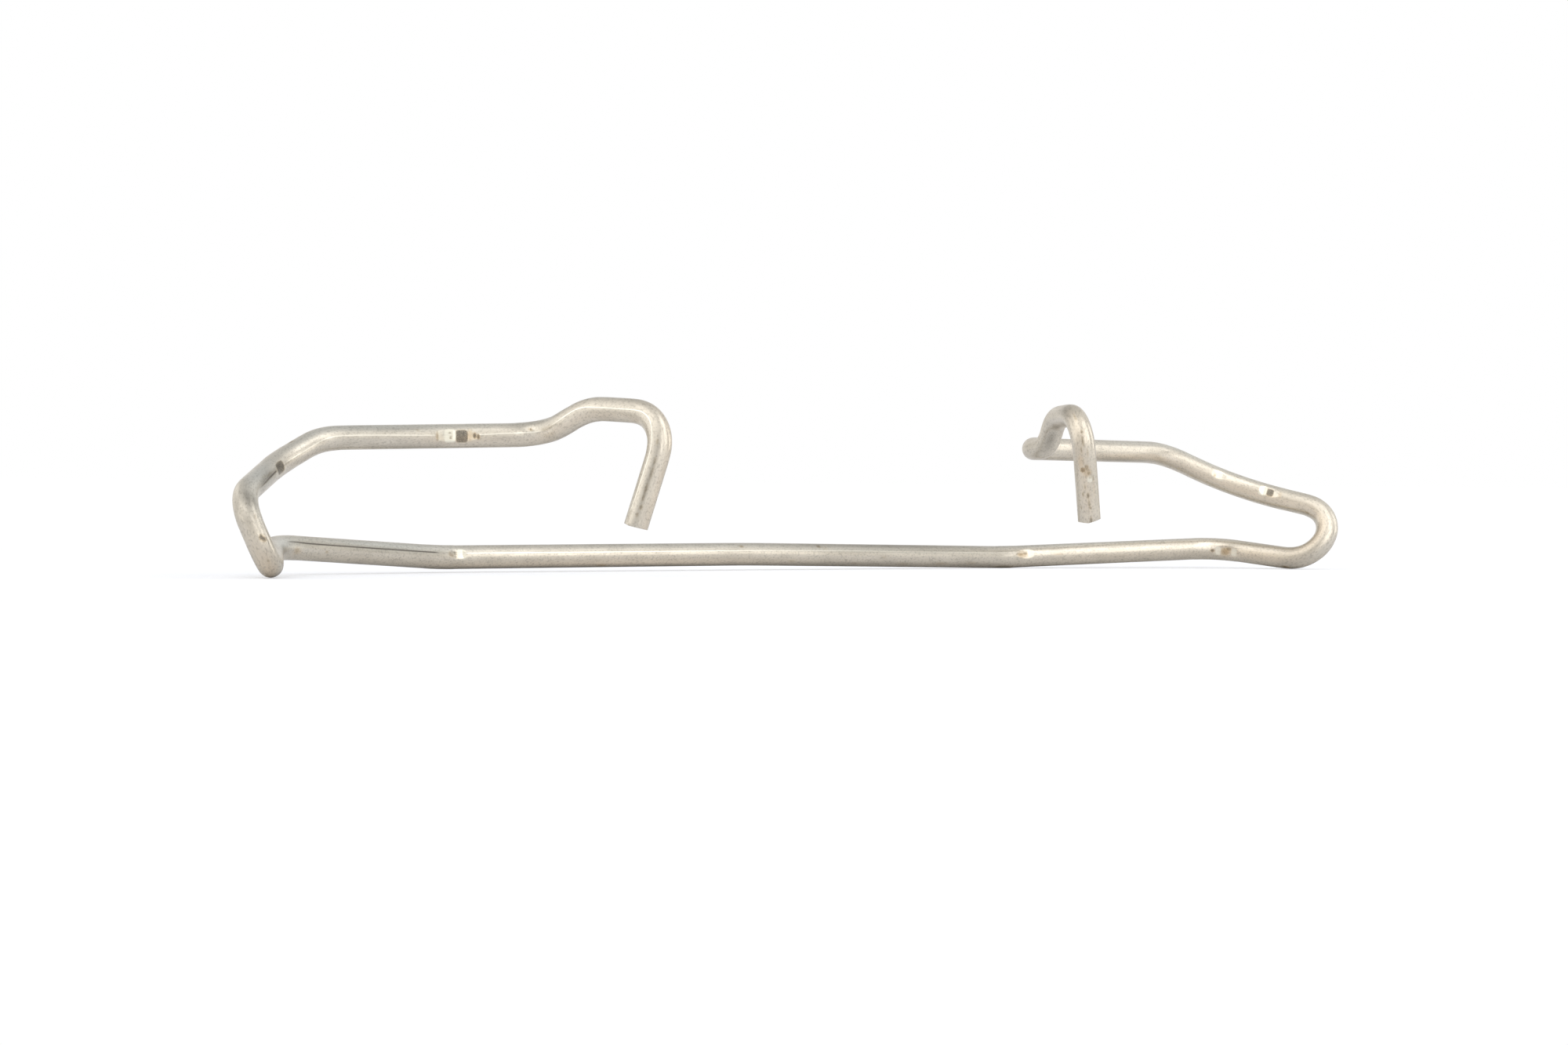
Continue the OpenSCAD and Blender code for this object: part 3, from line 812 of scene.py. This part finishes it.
where = add_node(tree, "ShaderNodeAttribute", attribute_name="straightened").outputs["Vector"]
stained, rusty, painted_light_and_dull_amount, cast_and_painted_tint_amount, rubbed_and_highlight, drawn = [
    add_node(tree, "ShaderNodeAttribute", attribute_name=name).outputs["Fac"]
    for name in ("stain", "rust", "painted_light_and_dull_skin", "cast_and_painted_tint", "burnish_and_highlight", "thread")
]
print("the steel reads", len([n for n in tree.nodes if n.type == "ATTRIBUTE"]), "attributes")

# %% [markdown]
# Coordinates are in millimetres here, so a scale of 5 makes clouds a fifth of a millimetre
# across, and a stretch of 0.05 along the third axis draws them out twenty times along the wire.

# %% Its grain, specks and clouds
grain = noise(tree, where, (1, 1, 0.05), 8.0, 3.0, 0.6)
specks = noise(tree, where, (1, 1, 0.7), 4.6, 1.5, 0.5)
clouds = noise(tree, where, (1, 1, 0.35), 0.8, 3.0, 0.55)
fine = noise(tree, where, (1, 1, 0.5), 11.0)

clouded = mix_colours(tree, between(tree, clouds, 0.4, 0.72, 0.0, 0.5), STEEL, DULL)
grained = mix_colours(tree, between(tree, grain, 0.5, 0.72, 0.0, 0.3), clouded, DULL)
specked = mix_colours(tree, between(tree, specks, 0.5, 0.76, 0.0, 0.4), grained, OXIDE)
hatched = mix_colours(tree, between(tree, fine, 0.52, 0.74, 0.0, 0.45), specked, DULL)
print("grain, specks and clouds are in place")

# %% Its stains, painted light and shade, tints, rubbed floors and die line
edged = sum_of(tree, stained, between(tree, fine, 0.3, 0.62, 0.7, 1.06), "MULTIPLY")
speckled_rust = sum_of(tree, rusty, between(tree, fine, 0.3, 0.6, 0.75, 1.0), "MULTIPLY")
browned = mix_colours(tree, speckled_rust, hatched, BROWN, "MULTIPLY")
tanned = mix_colours(tree, between(tree, edged, 0.0, 0.3), browned, TAN, "MULTIPLY")
oxidised = mix_colours(tree, between(tree, edged, 0.15, 1.0), tanned, OXIDE)
# painted highlights and painted shade, with some duller skin, scale the colour here
light = sum_of(tree, painted_light_and_dull_amount, 1.0)
shaded = add_node(tree, "ShaderNodeVectorMath", {0: oxidised, "Scale": light}, operation="SCALE")
# the warm cast, partly the skin's own and partly a painted tint of reflections and glare
red, blue = [sum_of(tree, sum_of(tree, cast_and_painted_tint_amount, gain, "MULTIPLY"), 1.0) for gain in (RED_GAIN, BLUE_GAIN)]
cast = add_node(tree, "ShaderNodeCombineXYZ", {0: red, 1: 1.0, 2: blue}).outputs["Vector"]
warm = {0: shaded.outputs["Vector"], 1: cast}
tinted = add_node(tree, "ShaderNodeVectorMath", warm, operation="MULTIPLY").outputs["Vector"]
# the rubbed floors, partly metal rubbed bright and partly a painted highlight on the flats
streaked_floor = sum_of(tree, rubbed_and_highlight, between(tree, grain, 0.35, 0.65, 1.0, 0.75), "MULTIPLY")
bright = mix_colours(tree, streaked_floor, tinted, RUBBED_AND_HIGHLIGHT)
# the die line's bright thread is a painted highlight in the colour
lit_thread = mix_colours(tree, between(tree, drawn, 0.0, 1.0), bright, THREAD_HIGHLIGHT)
scratched = mix_colours(tree, between(tree, drawn, -1.0, 0.0, 0.9, 0.0), lit_thread, SCORED)
tree.links.new(scratched, surface.inputs["Base Color"])
print("stains, floors and the die line are in place")

# %% Its roughness and bump
# Less rough by 0.05 where it is rubbed, and rougher by up to 0.12 where it is stained
rough = between(tree, clouds, 0.3, 0.7, 0.30, 0.37)
rough = sum_of(tree, rough, sum_of(tree, rubbed_and_highlight, -0.05, "MULTIPLY"))
rough = sum_of(tree, rough, between(tree, edged, 0.3, 1.0, 0.0, 0.12))
tree.links.new(rough, surface.inputs["Roughness"])
height = sum_of(tree, sum_of(tree, grain, 0.5, "MULTIPLY"), sum_of(tree, specks, 0.25, "MULTIPLY"))
bump = add_node(tree, "ShaderNodeBump", {"Strength": 0.3, "Distance": 0.00002, "Height": height})
tree.links.new(bump.outputs["Normal"], surface.inputs["Normal"])
wire_mesh.materials.append(steel)
print("the steel has", len(tree.nodes), "nodes")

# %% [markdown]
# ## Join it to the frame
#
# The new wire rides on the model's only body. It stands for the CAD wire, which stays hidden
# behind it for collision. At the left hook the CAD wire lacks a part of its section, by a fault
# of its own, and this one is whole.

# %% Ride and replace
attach(wire, "root")
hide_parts("spring_wire")
print("the bent wire stands for the CAD node")

# %% [markdown]
# ## Floor and backdrop
#
# The photograph shows the spring on white, with only a trace of shadow. The camera is almost level
# with the table, so the floor runs up to a horizon behind the spring, and both sides of that line
# have to be the same white. So the floor glows white by itself for the rays that the camera
# sends, and only near the spring part of that white is real lit surface, which keeps the
# shadow. The metal sees more of the lit surface, so its underside darkens where it comes close
# to the table, as the real one does.

# %% The floor
FLOOR_SIZE = 6.0
WHITE = (1, 1, 1, 1)
TABLE_WHITE = (0.875, 0.89, 0.93, 1)
LIT_ENDS = (0.10, 0.16)  # metres from the middle between which the lit table passes into plain white
GLOW = (1.3, 1.02)  # brightness of the glowing white, up to there and beyond
GLOW_SEEN = (0.3, 1.0)  # its share in what the camera sees, up to there and beyond
METAL_ENDS = (0.10, 0.30)  # metres between which the metal's view passes into plain white

floor_mesh = bpy.data.meshes.new("floor")
half = FLOOR_SIZE / 2
floor_corners = [(-half, -half, 0), (half, -half, 0), (half, half, 0), (-half, half, 0)]
floor_mesh.from_pydata(floor_corners, [], [(0, 1, 2, 3)])
floor = bpy.data.objects.new("floor", floor_mesh)
bpy.context.scene.collection.objects.link(floor)

floor_paint = bpy.data.materials.new("white_table")
floor_paint.use_nodes = True
tree = floor_paint.node_tree
tree.nodes.clear()
out = add_node(tree, "ShaderNodeOutputMaterial")
lit = add_node(tree, "ShaderNodeBsdfDiffuse", {"Color": TABLE_WHITE})
path = add_node(tree, "ShaderNodeLightPath")
spot = add_node(tree, "ShaderNodeTexCoord").outputs["Object"]
distance = add_node(tree, "ShaderNodeVectorMath", {0: spot}, operation="LENGTH").outputs["Value"]
glow = between(tree, distance, *LIT_ENDS, *GLOW)
white = add_node(tree, "ShaderNodeEmission", {"Color": WHITE, "Strength": glow})
seen_share = between(tree, distance, *LIT_ENDS, *GLOW_SEEN)
for_camera = sum_of(tree, path.outputs["Is Camera Ray"], seen_share, "MULTIPLY")
mirrored_ray = sum_of(tree, path.outputs["Is Glossy Ray"], path.outputs["Is Transmission Ray"], "MAXIMUM")
for_metal = sum_of(tree, mirrored_ray, between(tree, distance, *METAL_ENDS), "MULTIPLY")
white_share = sum_of(tree, for_camera, for_metal, "MAXIMUM")
surfaces = {0: white_share, 1: lit.outputs["BSDF"], 2: white.outputs["Emission"]}
blend = add_node(tree, "ShaderNodeMixShader", surfaces)
tree.links.new(blend.outputs["Shader"], out.inputs["Surface"])
floor_mesh.materials.append(floor_paint)
floor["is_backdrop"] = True
print("the floor is", FLOOR_SIZE, "m wide")

# %% [markdown]
# The world is white as well. A polished round bar shows its shape by what is dark in the room,
# and in a room that is white all round it would look flat. So for the rays that the metal
# sends, the white has three dim places, as between the lamps of a real studio. Each is a soft
# disc round one direction: the dot product of the two directions, from the cosine of its
# outer edge to the cosine of its inner edge.

# %% The world behind it
ROOM_LIGHT = 0.75  # strength of the white that lights the floor
# Dim places: [compass angle, height, outer edge, inner edge, share of the light that is lost]
DIM = [(328.5, 17.6, 21, 13, 1.0), (114.9, 15.5, 24, 15, 0.27), (59.4, 50.1, 31, 22, 0.23)]


def direction(compass, height):
    """The unit vector toward a compass angle and a height, both in degrees."""
    a, e = np.radians([compass, height])
    return np.array([np.cos(e) * np.cos(a), np.cos(e) * np.sin(a), np.sin(e)])


world = bpy.data.worlds.new("studio")
bpy.context.scene.world = world
world.use_nodes = True
tree = world.node_tree
tree.nodes.clear()
out = add_node(tree, "ShaderNodeOutputWorld")
toward = add_node(tree, "ShaderNodeTexCoord").outputs["Generated"]
strength = 1.0
for compass, height, outer, inner, amount in DIM:
    both = {0: toward, 1: tuple(direction(compass, height))}
    aligned = add_node(tree, "ShaderNodeVectorMath", both, operation="DOT_PRODUCT").outputs["Value"]
    kept = between(tree, aligned, np.cos(np.radians(outer)), np.cos(np.radians(inner)), 1.0, 1.0 - amount)
    strength = sum_of(tree, strength, kept, "MULTIPLY")
path = add_node(tree, "ShaderNodeLightPath")
mirrored_ray = sum_of(tree, path.outputs["Is Glossy Ray"], path.outputs["Is Transmission Ray"], "MAXIMUM")
for_floor, for_camera, for_metal = [
    add_node(tree, "ShaderNodeBackground", {"Color": WHITE, "Strength": light}).outputs["Background"]
    for light in (ROOM_LIGHT, 1.0, strength)
]
unseen = add_node(tree, "ShaderNodeMixShader", {0: mirrored_ray, 1: for_floor, 2: for_metal})
views = {0: path.outputs["Is Camera Ray"], 1: unseen.outputs["Shader"], 2: for_camera}
blend = add_node(tree, "ShaderNodeMixShader", views)
tree.links.new(blend.outputs["Shader"], out.inputs["Surface"])
print("white world, with", len(DIM), "dim places for the metal")

# %% [markdown]
# Five soft boxes stand close round the spring and give the metal its long highlights. A lamp's
# place is set as a compass angle and a height, both seen from the spring, and it is turned to
# face the spring. Its power follows from the brightness that the metal should see in it: four
# times brightness times area.

# %% Soft boxes
def soft_box(name, compass, height, away, width, tall, brightness):
    """A rectangular lamp `away` metres off in the direction (compass, height), in degrees.
    Its power is 4 x brightness x width x tall."""
    ahead = direction(compass, height)
    a = np.radians(compass)
    sideways = np.array([-np.sin(a), np.cos(a), 0])
    lamp = bpy.data.lights.new(name, "AREA")
    lamp.shape, lamp.size, lamp.size_y = "RECTANGLE", width, tall
    lamp.energy = 4 * brightness * width * tall
    pose = np.eye(4)
    pose[:3, 0], pose[:3, 1] = sideways, np.cross(ahead, sideways)
    pose[:3, 2], pose[:3, 3] = ahead, away * ahead
    box = bpy.data.objects.new(name, lamp)
    box.matrix_world = Matrix(pose.tolist())
    box.visible_camera = False
    bpy.context.scene.collection.objects.link(box)
    print(f"{name}: {lamp.energy:.3f} W at {compass} degrees round, {height} up, {away} m off")


soft_box("key", 298.1, 37.8, 0.241, 0.128, 0.265, 0.91)
soft_box("front", 258.9, 20, 0.676, 0.178, 0.46, 0.84)
soft_box("right", 339.5, 17.4, 0.35, 0.135, 0.19, 1.44)
soft_box("back_left", 148.6, 19.5, 0.24, 0.339, 0.155, 0.36)
soft_box("high_left", 196.1, 49.7, 1.18, 1.075, 0.911, 0.61)

# %% [markdown]
# ## The sizes
#
# Looks never change a part's size. Both boxes are printed, to be compared.

# %% Set the view and print the sizes
bpy.context.scene.view_settings.view_transform = "Standard"
sizes = {"cad": [list(corner) for corner in cad_box], "visual": [list(corner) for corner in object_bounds()]}
for name, box in sizes.items():
    print(name, "box, mm:", [[round(1000 * x, 2) for x in corner] for corner in box])
